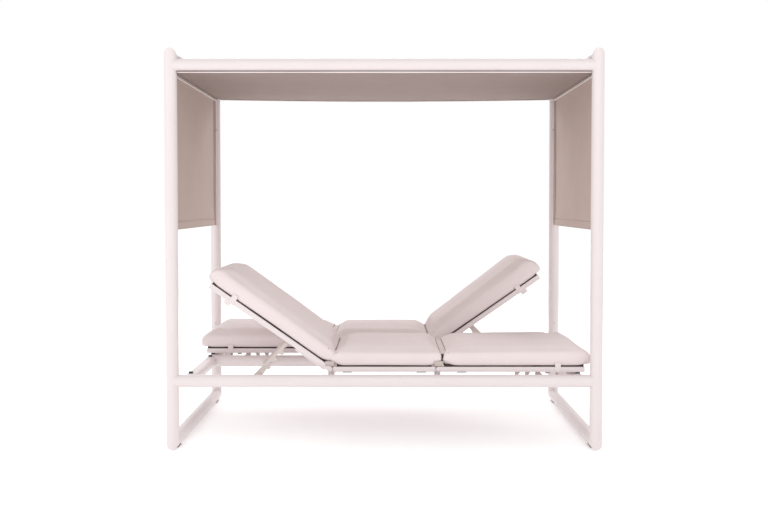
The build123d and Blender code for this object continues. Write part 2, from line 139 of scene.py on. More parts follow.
def powder_coat_group():
    group, given, result = new_group(
        "powder_coat",
        (
            ("Vector", "NodeSocketVector", None),
            ("Color", "NodeSocketColor", (0.8, 0.7, 0.7, 1)),
            ("Dust", "NodeSocketFloat", 0.1),
        ),
        GROUP_OUTPUTS,
    )
    peel = noise_node(group, given["Vector"], PEEL_SCALE, 2.0)
    patches = noise_node(group, given["Vector"], PATCH_SCALE, 4.0)
    dusty = math_node(group, "MULTIPLY", patches, given["Dust"])
    darker = mix_colour(group, 1.0, given["Color"], DUST_TINT, "MULTIPLY")
    colour = mix_colour(group, dusty, given["Color"], darker)
    rough = math_node(group, "MULTIPLY_ADD", patches, PAINT_ROUGH_SPAN, PAINT_ROUGH)
    for label, value in (("Color", colour), ("Roughness", rough), ("Height", peel)):
        group.links.new(value, result[label])
    return group


# %% [markdown]
# ### Woven cloth
# The cushions and canopy are woven outdoor cloth. Real threads could be modelled, but they are half a
# millimetre wide and there would be millions. Sine waves along the three axes cross each other like
# warp and weft, and slow noise fades the yarn in places, as where cloth has been sat on.

# %% Woven cloth group
SLUB_SCALE, WORN_SCALE = 240.0, 7.0
FADE_TINT = (0.80, 0.77, 0.75, 1)
BETWEEN_THREADS = (0.30, 0.25, 0.23, 1)
THREAD_SHADE, THREAD_HEIGHT = 0.04, 0.5
CLOTH_ROUGH, CLOTH_ROUGH_SPAN = 0.80, 0.12


def thread_waves(group, given):
    split = group.nodes.new("ShaderNodeSeparateXYZ")
    group.links.new(given["Vector"], split.inputs[0])
    waves = []
    for axis in range(3):
        turned = math_node(group, "MULTIPLY", split.outputs[axis], given["Threads"])
        waves.append(math_node(group, "SINE", turned, 0.0))
    warp = math_node(group, "MULTIPLY", waves[0], waves[1])
    weft = math_node(group, "MULTIPLY", waves[1], waves[2])
    other = math_node(group, "MULTIPLY", waves[0], waves[2])
    return math_node(group, "ADD", math_node(group, "ADD", warp, weft), other)


def woven_group():
    group, given, result = new_group(
        "woven_cloth",
        (
            ("Vector", "NodeSocketVector", None),
            ("Color", "NodeSocketColor", (0.7, 0.6, 0.6, 1)),
            ("Threads", "NodeSocketFloat", 900.0),
            ("Wear", "NodeSocketFloat", 0.2),
        ),
        GROUP_OUTPUTS,
    )
    weave = thread_waves(group, given)
    slubs = noise_node(group, given["Vector"], SLUB_SCALE, 2.0)
    worn = noise_node(group, given["Vector"], WORN_SCALE, 5.0)
    fade = math_node(group, "MULTIPLY", worn, given["Wear"])
    pale = mix_colour(group, 1.0, given["Color"], FADE_TINT, "MULTIPLY")
    faded = mix_colour(group, fade, given["Color"], pale)
    thread_dark = math_node(group, "MULTIPLY", weave, THREAD_SHADE, clamp=True)
    shaded = mix_colour(group, thread_dark, faded, BETWEEN_THREADS)
    height = math_node(group, "ADD", math_node(group, "MULTIPLY", weave, THREAD_HEIGHT), slubs)
    rough = math_node(group, "MULTIPLY_ADD", slubs, CLOTH_ROUGH_SPAN, CLOTH_ROUGH)
    for label, value in (("Color", shaded), ("Roughness", rough), ("Height", height)):
        group.links.new(value, result[label])
    return group


GROUPS = {"powder": powder_coat_group(), "woven": woven_group()}
print("groups:", ", ".join(group.name for group in GROUPS.values()))

# %% [markdown]
# ## Finishes
# Each finish is one material: texture coordinates, one group, a bump and the surface shader. Most
# finishes read the object's own coordinates. The cushion cloth reads an attribute, cloth_at, which
# holds the flat place of each point, so the weave turns with a tilted panel.

# %% A helper that makes a finish
def finish(name, group, colour, bump, distance, settings, coords="Object"):
    material = bpy.data.materials.new(name)
    material.use_nodes = True
    tree = material.node_tree
    surface = tree.nodes["Principled BSDF"]
    effect = tree.nodes.new("ShaderNodeGroup")
    effect.node_tree = GROUPS[group]
    effect.inputs["Color"].default_value = (*colour, 1)
    for label, value in settings.items():
        effect.inputs[label].default_value = value
    if coords == "Object":
        source = tree.nodes.new("ShaderNodeTexCoord").outputs["Object"]
    else:
        attribute = tree.nodes.new("ShaderNodeAttribute")
        attribute.attribute_name = coords
        source = attribute.outputs["Vector"]
    tree.links.new(source, effect.inputs["Vector"])
    raised = tree.nodes.new("ShaderNodeBump")
    raised.inputs["Strength"].default_value = bump
    raised.inputs["Distance"].default_value = distance
    tree.links.new(effect.outputs["Height"], raised.inputs["Height"])
    tree.links.new(effect.outputs["Color"], surface.inputs["Base Color"])
    tree.links.new(effect.outputs["Roughness"], surface.inputs["Roughness"])
    tree.links.new(raised.outputs["Normal"], surface.inputs["Normal"])
    return material


# %% Painted finishes
TUBE_COLOUR = (0.77, 0.695, 0.695)


def painted(name, colour, dust, bump=0.12, distance=0.0004):
    return finish(name, "powder", colour, bump, distance, {"Dust": dust})


tube_paint = painted("tube_powder_coat", TUBE_COLOUR, 0.35)
bar_paint = painted("bar_powder_coat", TUBE_COLOUR, 0.45)
hardware_paint = painted("hardware_paint", (0.62, 0.55, 0.52), 0.6, bump=0.15)
track_paint = painted("track_paint", (0.72, 0.64, 0.61), 0.3, bump=0.10, distance=0.0003)
rubber = painted("pad_rubber", (0.035, 0.03, 0.03), 0.8, bump=0.4, distance=0.0006)
keder_paint = painted("keder_paint", (0.90, 0.82, 0.80), 0.1, bump=0.1, distance=0.0002)
print("painted finishes:", len(bpy.data.materials))

# %% Cloth finishes
CUSHION_COLOUR = (0.80, 0.71, 0.705)
# Piping: much darker than the cushion cloth, which paints in the shadow line along each seam.
PIPING_SHADE_COLOUR = (0.34, 0.275, 0.255)
STRIP_COLOUR = (0.76, 0.67, 0.66)
# Hinge tabs: darker than the cushion cloth, which paints in the shade low in the seams. The keder joint
# bands take the same colour.
TAB_SHADE_AND_JOINT_COLOUR = (0.58, 0.49, 0.465)
# Near-black sheets: this colour is painted shade, for the dark lines under and between the cushions.
PAINTED_SHADE_COLOUR = (0.055, 0.036, 0.032)
# The canopy and the side cloths are one cloth. The canopy's copy is painted darker, for the shade under
# it, and the sides' copy lighter, for the light that falls on them.
CANOPY_SHADED_COLOUR = (0.355, 0.277, 0.257)
SIDE_LIT_COLOUR = (0.56, 0.45, 0.405)
WEBBING_COLOUR = (0.80, 0.715, 0.705)


def woven(name, colour, threads, wear, bump, distance, coords="Object"):
    return finish(name, "woven", colour, bump, distance, {"Threads": threads, "Wear": wear}, coords)


cushion_cloth = woven("cushion_cloth", CUSHION_COLOUR, 2600.0, 0.35, 0.25, 0.0004, "cloth_at")
piping_shade_cloth = woven("piping_shade_cloth", PIPING_SHADE_COLOUR, 2600.0, 0.3, 0.25, 0.0004)
strip_cloth = woven("strip_cloth", STRIP_COLOUR, 2600.0, 0.4, 0.3, 0.0004)
tab_shade_and_joint_cloth = woven("tab_shade_and_joint_cloth", TAB_SHADE_AND_JOINT_COLOUR, 2200.0, 0.4, 0.3, 0.0005)
painted_shade_cloth = woven("painted_shade_cloth", PAINTED_SHADE_COLOUR, 1500.0, 0.5, 0.5, 0.0005)
canopy_cloth = woven("canopy_cloth", CANOPY_SHADED_COLOUR, 1900.0, 0.5, 0.35, 0.0006)
side_cloth = woven("side_cloth", SIDE_LIT_COLOUR, 1900.0, 0.5, 0.35, 0.0006)
webbing = woven("tie_webbing", WEBBING_COLOUR, 1500.0, 0.3, 0.4, 0.0006)
print("all finishes:", len(bpy.data.materials))

# %% [markdown]
# ## Paint the frame
# Every CAD node keeps its mesh and takes the finish of its material slot in the record. The pieces
# could be listed by hand, but the slots already say which of them are tube, bar, rubber or cloth.

# %% Give each CAD node its finish
SLOT_FINISH = {
    "frame_tube": tube_paint,
    "lounger_bar": bar_paint,
    "cushion_fabric": cushion_cloth,
    "canopy_fabric": canopy_cloth,
    "dark_rubber": rubber,
    "tie_webbing": webbing,
    "cloth_track": track_paint,
    "hardware": hardware_paint,
}
for part in frame["record"]["subparts"]:
    node = nodes[part["node"]]
    node.data.materials.clear()
    node.data.materials.append(SLOT_FINISH[part["material_slot"]])

# %% [markdown]
# ## Cushions
# Each lounger has three cushions: seat, back and legs. A real one is a block of foam in a sewn cover.
# It could be sculpted by hand, but then the two loungers would differ and nothing could be changed
# later. So a cover starts as its plain foam solid, laid flat in its own frame: u runs out from the
# hinge, n stands up from the panel, and v runs across it. All the shaping is done there, and the
# result is laid back in place.

# %% Frames of the panels
HINGE_X, BED_Y, HINGE_Z = 0.277, 0.3785, 0.4035
BACK_RAISE = math.radians(35)
BEDS = (("front", -BED_Y, -1), ("rear", BED_Y, 1))


def panel_frame(side, y, raised):
    along = Vector((side * math.cos(raised), 0, math.sin(raised)))
    up = Vector((-side * math.sin(raised), 0, math.cos(raised)))
    across = along.cross(up)
    frame_at = Matrix((along, across, up)).transposed().to_4x4()
    frame_at.translation = Vector((side * HINGE_X, y, HINGE_Z))
    return frame_at


print("backs raised by", round(math.degrees(BACK_RAISE)), "degrees, beds at y", BED_Y, "and", -BED_Y)


# %% Read and write a mesh's points as one array
def get_points(mesh):
    flat = np.zeros(len(mesh.vertices) * 3)
    mesh.vertices.foreach_get("co", flat)
    return flat.reshape(-1, 3)


def set_points(mesh, points):
    mesh.vertices.foreach_set("co", np.asarray(points, float).ravel())
    mesh.update()


def get_normals(mesh):
    flat = np.zeros(len(mesh.vertices) * 3)
    mesh.vertices.foreach_get("normal", flat)
    return flat.reshape(-1, 3)


def smooth_step(value, low, high):
    share = np.clip((value - low) / (high - low), 0, 1)
    return share * share * (3 - 2 * share)


# %% [markdown]
# ### Foam cut to size
# Upholsterers round the edges of foam, and cloth never shows a sharp corner. A bevel would leave long
# thin faces that fold badly. A voxel remesh makes even faces all round, and smoothing then softens the
# edges. The foam is first shrunk a little, so that the swollen cover ends where the solid did.

# %% Cut the foam
SHRINK = 0.002
VOXEL = 0.0085
SMOOTH_PASSES = 14


def evaluated_mesh(obj):
    depsgraph = bpy.context.evaluated_depsgraph_get()
    return bpy.data.meshes.new_from_object(obj.evaluated_get(depsgraph))


def merged_copy(mesh):
    copy = mesh.copy()
    form = bmesh.new()
    form.from_mesh(copy)
    bmesh.ops.remove_doubles(form, verts=form.verts, dist=0.00001)
    form.to_mesh(copy)
    form.free()
    return copy


def cut_foam(node, name, frame_at):
    mesh = merged_copy(nodes[node].data)
    mesh.transform(frame_at.inverted())
    points = get_points(mesh)
    middle = (points.min(0) + points.max(0)) / 2
    size = points.max(0) - points.min(0)
    set_points(mesh, middle + (points - middle) * (1 - 2 * SHRINK / size))
    foam = bpy.data.objects.new(name, mesh)
    scene.collection.objects.link(foam)
    remesh = foam.modifiers.new("even", "REMESH")
    remesh.mode = "VOXEL"
    remesh.voxel_size = VOXEL
    soften = foam.modifiers.new("soft_edges", "SMOOTH")
    soften.factor = 0.5
    soften.iterations = SMOOTH_PASSES
    bpy.context.view_layer.update()
    foam.data = evaluated_mesh(foam)
    foam.modifiers.clear()
    print(name, "points:", len(foam.data.vertices))
    return foam


# %% [markdown]
# ### Covers blown up
# A stuffed cover is under light pressure from its foam. Cloth simulation with air pressure gives that
# fullness better than a formula would. The underside is pinned, because it lies on slats. Free cloth
# would also creep away from the seams, so each point moves only straight out or in, by no more than
# its cap, and the movement is evened out between neighbours so that the caps leave no line.

# %% Even out a value between neighbours
SWELL_CAP, PULL_CAP = 0.009, 0.003
SWELL_PASSES = 16


def spread_out(values, mesh, passes):
    ends = np.zeros(len(mesh.edges) * 2, int)
    mesh.edges.foreach_get("vertices", ends)
    a, b = ends.reshape(-1, 2).T
    neighbours = np.bincount(ends, minlength=len(values))
    for _ in range(passes):
        total = np.bincount(a, values[b], len(values)) + np.bincount(b, values[a], len(values))
        values = (values + total / neighbours) / 2
    return values


# %% Blow a cover up
PINNED_HEIGHT = 0.006
AIR_PRESSURE = 4.0
LAST_FRAME = 20
CLOTH_SETTINGS = {
    "quality": 6,
    "mass": 0.4,
    "tension_stiffness": 30,
    "compression_stiffness": 30,
    "bending_stiffness": 4,
    "use_pressure": True,
    "uniform_pressure_force": AIR_PRESSURE,
    "vertex_group_mass": "underside",
}


def blow_up(foam):
    before = get_points(foam.data)
    low = before[:, 2].min()
    pinned = foam.vertex_groups.new(name="underside")
    pinned.add([int(i) for i in np.nonzero(before[:, 2] < low + PINNED_HEIGHT)[0]], 1.0, "REPLACE")
    cloth = foam.modifiers.new("cover", "CLOTH")
    for label, value in CLOTH_SETTINGS.items():
        setattr(cloth.settings, label, value)
    cloth.settings.effector_weights.gravity = 0
    for step in range(1, LAST_FRAME + 1):
        scene.frame_set(step)
    after = get_points(evaluated_mesh(foam))
    foam.modifiers.clear()
    foam.vertex_groups.clear()
    scene.frame_set(1)
    outward = get_normals(foam.data)
    swell = ((after - before) * outward).sum(1)
    swell = spread_out(np.clip(swell, -PULL_CAP, SWELL_CAP), foam.data, SWELL_PASSES)
    print(foam.name, "swells by up to", round(float(swell.max()) * 1000, 1), "mm")
    return before + outward * swell[:, None]


# %% [markdown]
# ### Filled out to the seams
# Smoothing and pressure leave a cover a little short, which would open the seams between cushions. It
# is stretched back to its full length and width. The foam of backs and legs is thicker towards the
# head and the foot, and a leg cushion leans out a little where it meets the seat.

# %% Fill a cushion out to its full length and width
HALF_WIDTH = 0.3365
UNDERSIDE = 0.020
HEAD_RISE = {
    ("front", "back"): 0.010,
    ("rear", "back"): 0.028,
    ("front", "leg"): 0.007,
    ("rear", "leg"): 0.007,
}
RISE_BAND = (0.045, 0.100)
RISE_START, RISE_RUN = 0.06, 0.66
END_BAND, END_DROP = (0.745, 0.785), 0.35
START_LEAN = {"back": 0.0, "leg": 0.11}
LEAN_BAND, LEAN_HEIGHT = (0.012, 0.075), 0.07


def fill_out(points, first, last):
    filled = points.copy()
    low, high = points[:, 0].min(), points[:, 0].max()
    filled[:, 0] = first + (points[:, 0] - low) * (last - first) / (high - low)
    filled[:, 1] = points[:, 1] * HALF_WIDTH / np.abs(points[:, 1]).max()
    return filled


def fill_head(points, rise):
    u, v, n = points.T
    upper = smooth_step(n, *RISE_BAND)
    along = np.clip((u - RISE_START) / RISE_RUN, 0, 1) * (1 - END_DROP * smooth_step(u, *END_BAND))
    raised = points.copy()
    raised[:, 2] = n + rise * upper * along
    return raised


def close_start(points, first, lean):
    u, v, n = points.T
    near = 1 - smooth_step(u, first + LEAN_BAND[0], first + LEAN_BAND[1])
    closed = points.copy()
    closed[:, 0] = u - lean * np.clip(n - UNDERSIDE, 0, LEAN_HEIGHT) * near
    return closed


# %% [markdown]
# ### How the underside sits
# The slats carry the middle of a cushion. Beside them the cover settles onto the side bars, and at
# both ends its lower corners lift off the frame. A second simulation with the bars as colliders could
# find this. It is done by formula, because it is only a few millimetres and has to be even.

# %% Settle the underside
BAR_TOP, COVER_WALL = 0.0125, 0.0016
SLAT_END = 0.3125
BAR_BAND = (SLAT_END + 0.002, SLAT_END + 0.010)
LOW_BAND = (UNDERSIDE + 0.004, UNDERSIDE + 0.040)
END_REACH, END_LIFT = 0.075, 0.011


def settle_underside(points, first, last):
    u, v, n = points.T
    over_bar = smooth_step(np.abs(v), *BAR_BAND)
    low = 1 - smooth_step(n, *LOW_BAND)
    rest = UNDERSIDE - BAR_TOP - COVER_WALL
    near_end = 1 - smooth_step(np.minimum(np.abs(u - first), np.abs(last - u)), 0.0, END_REACH)
    drop = rest * (1 - near_end) - END_LIFT * near_end**1.5
    settled = points.copy()
    settled[:, 2] = n - over_bar * low * drop
    return settled


# %% [markdown]
# ### Creases and unevenness
# Cloth that has been sat on keeps soft furrows, most of all near the hinges, and is never quite even.
# A finer simulation might find some of them, but not where the real ones lie. A crease is pressed in
# along a chosen line, and its depth fades to nothing at both ends. Slow noise does the rest.

# %% Press a crease
UNEVENNESS, UNEVEN_ALONG, UNEVEN_UP = 0.0018, 5, 9
CREASE_FADE = 0.6


def press_crease(points, normals, start, end, width, depth):
    a, b = np.array(start), np.array(end)
    run = b - a
    flat = points[:, :2]
    share = np.clip(((flat - a) @ run) / (run @ run), 0, 1)
    away = np.linalg.norm(flat - (a + share[:, None] * run), axis=1)
    fade = np.sin(math.pi * np.clip(share, 0.02, 0.98)) ** CREASE_FADE
    facing_up = np.clip(normals[:, 2], 0, 1)
    press = depth * fade * facing_up * np.exp(-((away / width) ** 2))
    return points - normals * press[:, None]


def soft_unevenness(points, normals, amount, seed):
    push = np.array([
        noise.noise(Vector((u * UNEVEN_ALONG + seed, v * UNEVEN_ALONG, n * UNEVEN_UP)))
        for u, v, n in points.tolist()
    ])
    return points + normals * (push * amount)[:, None]


# %% Where the creases run
HALF = 0.33
CREASES = {
    "leg": (
        ((0.62, -HALF), (0.77, 0.10), 0.028, 0.010),
        ((0.05, -0.2), (0.20, -0.05), 0.014, 0.0025),
        ((0.05, 0.15), (0.16, 0.28), 0.012, 0.002),
    ),
    "back": (
        ((0.03, -0.26), (0.13, -0.10), 0.012, 0.004),
        ((0.04, -0.05), (0.12, 0.10), 0.011, 0.0035),
        ((0.03, 0.15), (0.15, 0.29), 0.013, 0.004),
        ((0.20, -0.3), (0.34, -0.16), 0.022, 0.002),
    ),
    "seat": (
        ((-0.22, -0.28), (-0.13, -0.12), 0.020, 0.004),
        ((-0.23, 0.02), (-0.12, 0.16), 0.018, 0.003),
        ((0.20, -0.20), (0.27, -0.02), 0.014, 0.002),
    ),
}
print("creases:", {part: len(lines) for part, lines in CREASES.items()})

# %% [markdown]
# ### One cover, start to end
# The two loungers are alike, so each of seat, back and leg is simulated once and the second lounger
# takes a copy. Its own unevenness makes it look sewn by hand.

# %% Stuff a cover and shape it
stuffed = {}


def stuff(prefix, part, frame_at):
    name = f"{prefix}_{part}_cushion_cover"
    if part in stuffed:
        cover = bpy.data.objects.new(name, stuffed[part].copy())
        scene.collection.objects.link(cover)
        return cover
    cover = cut_foam(f"{prefix}_{part}_cushion", name, frame_at)
    set_points(cover.data, blow_up(cover))
    stuffed[part] = cover.data.copy()
    return cover


def shape_cover(cover, prefix, part, ends, seed):
    points, normals = get_points(cover.data), get_normals(cover.data)
    points = fill_out(points, *ends)
    if part != "seat":
        points = fill_head(points, HEAD_RISE[prefix, part])
        points = close_start(points, ends[0], START_LEAN[part])
    points = soft_unevenness(points, normals, UNEVENNESS, seed)
    points = settle_underside(points, *ends)
    for start, end, width, depth in CREASES[part]:
        points = press_crease(points, normals, start, end, width, depth)
    return points


# %% Lay a cover in its place
CLIP_ROOM = np.array((0.006, 0.003, 0.020))


def lay_in_place(cover, points, node, frame_at):
    low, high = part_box(node)
    set_points(cover.data, points)
    at = cover.data.attributes.new("cloth_at", "FLOAT_VECTOR", "POINT")
    at.data.foreach_set("vector", points.astype(np.float32).ravel())
    cover.data.transform(frame_at)
    placed = get_points(cover.data)
    set_points(cover.data, np.clip(placed, np.array(low) - CLIP_ROOM, np.array(high) + CLIP_ROOM))


def make_cushion(prefix, part, frame_at, body, ends, seed):
    node = f"{prefix}_{part}_cushion"
    cover = stuff(prefix, part, frame_at)
    points = shape_cover(cover, prefix, part, ends, seed)
    lay_in_place(cover, points, node, frame_at)
    cover.data.polygons.foreach_set("use_smooth", [True] * len(cover.data.polygons))
    finer = cover.modifiers.new("finer", "SUBSURF")
    finer.levels = finer.render_levels = 1
    cover.data.materials.clear()
    cover.data.materials.append(cushion_cloth)
    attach(cover, body)
    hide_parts(node)
    faces = [tuple(face.vertices) for face in cover.data.polygons]
    touch = BVHTree.FromPolygons(points.tolist(), faces)
    return {"cover": cover, "points": points, "touch": touch, "frame": frame_at}


# %% The six cushions
SEAT_ENDS, BACK_ENDS, LEG_ENDS = (-0.275, 0.293), (0.010, 0.783), (0.024, 0.783)
SEEDS = {"front": 3.0, "rear": 11.0}
covers = {}
for prefix, y, back_side in BEDS:
    seat_frame = panel_frame(-back_side, y, 0)
    seat_frame.translation = Vector((0, y, HINGE_Z))
    back_frame = panel_frame(back_side, y, BACK_RAISE)
    leg_frame = panel_frame(-back_side, y, 0)
    seed = SEEDS[prefix]
    for part, frame_at, body, ends, extra in (
        ("seat", seat_frame, "frame", SEAT_ENDS, 0),
        ("back", back_frame, f"{prefix}_back", BACK_ENDS, 2),
        ("leg", leg_frame, f"{prefix}_leg", LEG_ENDS, 4),
    ):
        covers[prefix, part] = make_cushion(prefix, part, frame_at, body, ends, seed + extra)
print("cushions:", len(covers), "points each about", len(covers["front", "leg"]["points"]))

# %% [markdown]
# ### Seams where two cushions meet
# Piping runs along the top edge of each cushion where it meets the next one, and a strip of the same
# cloth joins the two pipings. The piping could follow a drawn line, but a cover's edge is uneven. So
# rays are cast down on the finished cover to find where its top begins, and the piping is laid there.

# %% Find a cushion's top edge
SEAM_STEPS = 36
SEAM_N = 0.088
RAY_FROM, STEP = 0.3, 0.001
EDGE_LIMITS, EDGE_SHOULDER, EDGE_BACK = (0.337, 0.28), 0.034, 0.004
EDGE_LOOK_IN, EDGE_SEARCH = 0.05, 0.06
CORNER_V, CORNER_SLOPE = 0.27, 0.10


def top_height(cushion, u, v):
    hit = cushion["touch"].ray_cast(Vector((u, v, RAY_FROM)), Vector((0, 0, -1)))[0]
    return None if hit is None else hit.z


def side_reach(cushion, u):
    middle = top_height(cushion, u, 0)
    for v in np.arange(*EDGE_LIMITS, -STEP):
        heights = [top_height(cushion, u, side * v) for side in (-1, 1)]
        if None not in heights and min(heights) > middle - EDGE_SHOULDER:
            break
    return v - EDGE_BACK


def top_edge(cushion, end_sign, setback=0.002):
    points = cushion["points"]
    last = points[:, 0].max() if end_sign > 0 else points[:, 0].min()
    edge = []
    reach = side_reach(cushion, last - end_sign * EDGE_LOOK_IN)
    for v in np.linspace(-reach, reach, SEAM_STEPS):
        wanted = SEAM_N - CORNER_SLOPE * max(0, abs(v) - CORNER_V)
        for u in np.arange(last, last - end_sign * EDGE_SEARCH, -end_sign * STEP):
            height = top_height(cushion, u, v)
            if height is not None and height > wanted:
                break
        u -= end_sign * setback
        edge.append(Vector((u, v, top_height(cushion, u, v) or wanted)))
    return [cushion["frame"] @ place for place in edge]


def smooth_line(line, passes=3):
    for _ in range(passes):
        inner = [(a + 2 * b + c) / 4 for a, b, c in zip(line, line[1:], line[2:])]
        line = [line[0], *inner, line[-1]]
    return line


# %% [markdown]
# ### Cords and thin sheets
# Every cord and cloth from here on comes from one of two helpers. A cord is a round bevel on a line,
# turned into a mesh. A thin sheet is a grid whose points are moved to their places, and Solidify gives
# it its thickness, so a cloth has two faces and a closed rim like a real one.

# %% A cord along a line
def add_piece(name, mesh, material):
    mesh.materials.clear()
    mesh.materials.append(material)
    mesh.polygons.foreach_set("use_smooth", [True] * len(mesh.polygons))
    piece = bpy.data.objects.new(name, mesh)
    scene.collection.objects.link(piece)
    return piece


def make_cord(name, line, radius, material):
    curve = bpy.data.curves.new(name, "CURVE")
    curve.dimensions = "3D"
    spline = curve.splines.new("POLY")
    spline.points.add(len(line) - 1)
    for point, place in zip(spline.points, line):
        point.co = (*place, 1)
    curve.bevel_depth = radius
    curve.bevel_resolution = 3
    curve.use_fill_caps = True
    holder = bpy.data.objects.new(name + "_line", curve)
    scene.collection.objects.link(holder)
    bpy.context.view_layer.update()
    mesh = evaluated_mesh(holder)
    bpy.data.objects.remove(holder)
    return add_piece(name, mesh, material)


# %% A thin sheet from a grid
def thin_sheet(name, columns, rows, place_at, material, thickness, keep=None):
    form = bmesh.new()
    bmesh.ops.create_grid(form, x_segments=columns - 1, y_segments=rows - 1, size=1)
    for vert in form.verts:
        column = round((vert.co.x + 1) / 2 * (columns - 1))
        row = round((vert.co.y + 1) / 2 * (rows - 1))
        vert.co = place_at(column, row)
    if keep:
        cut = [face for face in form.faces if not keep(face.calc_center_median())]
        bmesh.ops.delete(form, geom=cut, context="FACES")
    mesh = bpy.data.meshes.new(name)
    form.to_mesh(mesh)
    form.free()
    piece = add_piece(name, mesh, material)
    thick = piece.modifiers.new("thickness", "SOLIDIFY")
    thick.thickness = thickness
    thick.offset = 0
    return piece


def sheet_of_rows(name, rows, material, thickness):
    return thin_sheet(name, len(rows[0]), len(rows), lambda c, r: rows[r][c], material, thickness)


# %% The strip between two edges
SEAM_DIP = {"leg": 0.006, "back": 0.008}
SEAM_ROWS = 7


def strip_rows(seat_edge, panel_edge, dip):
    rows = []
    for share in np.linspace(0, 1, SEAM_ROWS):
        sunk = Vector((0, 0, -dip * math.sin(math.pi * share)))
        rows.append([a.lerp(b, share) + sunk for a, b in zip(seat_edge, panel_edge)])
    return rows


# %% Sew the four seams
PIPING_R = 0.0024
STRIP_THICK = 0.0012


def sew_seam(prefix, part, seat_sign):
    seat, panel = covers[prefix, "seat"], covers[prefix, part]
    seat_edge = smooth_line(top_edge(seat, seat_sign))
    panel_edge = smooth_line(top_edge(panel, -1))
    if (seat_edge[0] - panel_edge[0]).length > (seat_edge[0] - panel_edge[-1]).length:
        panel_edge.reverse()
    body = f"{prefix}_{part}"
    for edge, rides, name in (
        (seat_edge, "frame", f"{prefix}_seat_{part}_piping"),
        (panel_edge, body, f"{prefix}_{part}_piping"),
    ):
        # The piping's dark colour is painted shade along the seam.
        piping = make_cord(name, edge, PIPING_R, piping_shade_cloth)
        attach(piping, rides)
    rows = strip_rows(seat_edge, panel_edge, SEAM_DIP[part])
    strip = sheet_of_rows(f"{prefix}_{part}_seam_cloth", rows, strip_cloth, STRIP_THICK)
    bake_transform(strip)


for prefix, y, back_side in BEDS:
    for part, seat_sign in (("leg", 1), ("back", -1)):
        sew_seam(prefix, part, seat_sign)

# %% [markdown]
# ### Painted shade in the seams
# Low in a seam between two cushions shows a short dark line of shade. It could be left to the shadow
# between the covers, but daylight would come through. So a small near-black sheet stands there, a
# little way in from the covers' sides and down to the frame; its dark colour is painted shade. It spans
# both bodies and is attached to neither.

# %% Stand the painted shade sheets in the seams
GUSSET_V, GUSSET_THICK = 0.318, 0.0008
GUSSET_Z = (0.424, 0.484)
GUSSET_REACH = {"leg": (0.010, 0.034), "back": (-0.012, 0.014)}
GUSSET_LEAN = {"leg": 0.0, "back": 0.30}


def sew_gusset(prefix, part, side, y, edge, word):
    near, far = (side * (HINGE_X + reach) for reach in GUSSET_REACH[part])
    low, high = GUSSET_Z
    rows = []
    for z in np.linspace(low, high, 8):
        shift = -side * GUSSET_LEAN[part] * (z - low)
        rows.append([Vector((x + shift, y + edge * GUSSET_V, z)) for x in np.linspace(near, far, 7)])
    shade_gusset = sheet_of_rows(f"{prefix}_{part}_gusset_{word}", rows, painted_shade_cloth, GUSSET_THICK)
    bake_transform(shade_gusset)


EDGES = ((-1, "one"), (1, "two"))
for prefix, y, back_side in BEDS:
    for part, side in (("leg", -back_side), ("back", back_side)):
        for edge, word in EDGES:
            sew_gusset(prefix, part, side, y, edge, word)
print("gussets:", 2 * len(BEDS) * len(EDGES))

# %% [markdown]
# ### Painted shade under the cushions
# Between a cushion and its side bar runs a thin dark line of shade. It could be left to the shadow, but
# from the front the gap would show daylight between the slats. A near-black skirt hangs there and
# closes it; its dark colour is painted shade.

# %% Hang the painted shade skirts
SKIRT_V, SKIRT_LOW, SKIRT_TOP = 0.3215, 0.0130, 0.027
SKIRT_THICK = 0.0008
SKIRT_SPAN = {"seat": (-0.243, 0.243), "back": (0.030, 0.745), "leg": (0.030, 0.745)}


def hang_skirts(prefix, part):
    frame_at = covers[prefix, part]["frame"]
    first, last = SKIRT_SPAN[part]
    for edge, word in EDGES:
        rows = [
            [frame_at @ Vector((u, edge * SKIRT_V, n)) for u in np.linspace(first, last, 40)]
            for n in np.linspace(SKIRT_LOW, SKIRT_TOP, 4)
        ]
        shade_skirt = sheet_of_rows(f"{prefix}_{part}_skirt_{word}", rows, painted_shade_cloth, SKIRT_THICK)
        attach(shade_skirt, "frame" if part == "seat" else f"{prefix}_{part}")


for prefix, part in covers:
    hang_skirts(prefix, part)
print("skirts:", len(covers) * len(EDGES))

# %% [markdown]
# ### Hinge tabs
# A doubled tab of cushion cloth is sewn across each seam, low on the outer side, over the hinge bolt.
# It is coloured darker than the cushions, which paints in the shade it sits in. A flat patch would look
# like tape, so the tab bulges a little in the middle, like folded cloth.

# %% Sew the hinge tabs
TAB_LEN, TAB_LOW, TAB_HIGH = 0.046, 0.421, 0.446
TAB_V, TAB_BULGE, TAB_THICK = 0.3378, 0.0022, 0.0014
TAB_MIDDLE, TAB_HALF_BLEND = 0.002, 0.012
TAB_CURVE, TAB_FOLD = 24, 0.0006


def tab_rows(middle, face, edge):
    rows = []
    for z in np.linspace(TAB_LOW, TAB_HIGH, 9):
        row = []
        for x in np.linspace(middle - TAB_LEN / 2, middle + TAB_LEN / 2, 15):
            share = (z - TAB_LOW) / (TAB_HIGH - TAB_LOW)
            bulge = TAB_BULGE * math.sin(math.pi * share) ** 0.5 * math.cos((x - middle) * TAB_CURVE)
            row.append(Vector((x, face + edge * bulge, z)))
        rows.append(row)
    return rows


def sew_tab(prefix, part, side, y, edge, word):
    rows = tab_rows(side * (HINGE_X + TAB_MIDDLE), y + edge * TAB_V, edge)
    tab = sheet_of_rows(f"{prefix}_{part}_tab_{word}", rows, tab_shade_and_joint_cloth, TAB_THICK)
    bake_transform(tab)


for prefix, y, back_side in BEDS:
    for part, side in (("leg", -back_side), ("back", back_side)):
        for edge, word in EDGES:
            sew_tab(prefix, part, side, y, edge, word)
print("hinge tabs:", 2 * len(BEDS) * len(EDGES))

